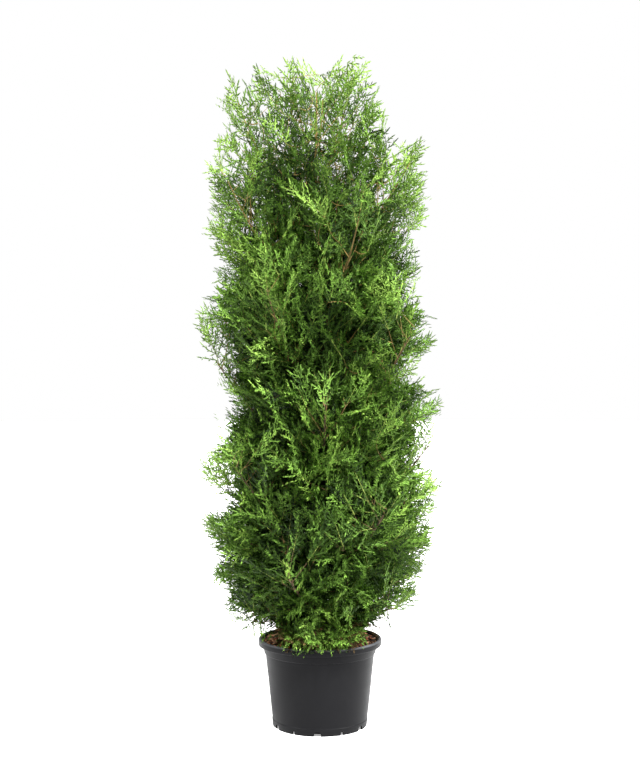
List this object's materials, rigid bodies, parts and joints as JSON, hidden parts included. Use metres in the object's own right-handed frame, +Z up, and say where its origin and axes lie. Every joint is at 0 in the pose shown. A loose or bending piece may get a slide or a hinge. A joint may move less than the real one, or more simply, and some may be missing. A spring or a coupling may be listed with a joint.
{
  "type": "potted columnar arborvitae",
  "caption": "Columnar evergreen conifer with flat scale-leaf sprays, standing in a round plastic nursery pot of bark-topped soil.",
  "frame": {"origin": "the middle of the pot's flat underside, on the ground", "axes": "+Z up along the trunk, -Y towards the front of the plant, +X to the viewer's right"},
  "size_m": [0.6289, 0.5989, 1.7327],
  "materials": {
    "pot_plastic": "satin",
    "bark_mulch": "rough",
    "bark": "rough",
    "foliage_0": "matte",
    "foliage_1": "matte",
    "foliage_2": "matte",
    "foliage_3": "matte"
  },
  "bodies": {
    "root": {"bough_01": "bark", "bough_02": "bark", "bough_03": "bark", "bough_04": "bark", "bough_05": "bark", "bough_06": "bark", "bough_07": "bark", "bough_08": "bark", "bough_09": "bark", "bough_10": "bark", "bough_11": "bark", "bough_12": "bark", "bough_13": "bark", "bough_14": "bark", "bough_15": "bark", "bough_16": "bark", "bough_17": "bark", "bough_18": "bark", "bough_19": "bark", "bough_20": "bark", "bough_21": "bark", "bough_22": "bark", "bough_23": "bark", "bough_24": "bark", "bough_front_leader": "bark", "bough_left_leader": "bark", "bough_left_shoulder": "bark", "bough_right_leader": "bark", "foliage_01": "foliage_0", "foliage_02": "foliage_1", "foliage_03": "foliage_2", "foliage_04": "foliage_3", "foliage_05": "foliage_0", "foliage_06": "foliage_1", "foliage_07": "foliage_2", "foliage_08": "foliage_3", "foliage_09": "foliage_0", "foliage_10": "foliage_1", "foliage_11": "foliage_2", "foliage_12": "foliage_3", "foliage_13": "foliage_0", "foliage_14": "foliage_1", "foliage_15": "foliage_2", "foliage_16": "foliage_3", "foliage_17": "foliage_0", "foliage_18": "foliage_1", "foliage_19": "foliage_2", "foliage_20": "foliage_3", "foliage_21": "foliage_0", "foliage_22": "foliage_1", "foliage_23": "foliage_2", "foliage_24": "foliage_3", "foliage_front_leader": "foliage_3", "foliage_left_leader": "foliage_1", "foliage_left_shoulder": "foliage_0", "foliage_right_leader": "foliage_2", "pot": "pot_plastic", "soil": "bark_mulch", "trunk": "bark"}
  },
  "joints": []
}
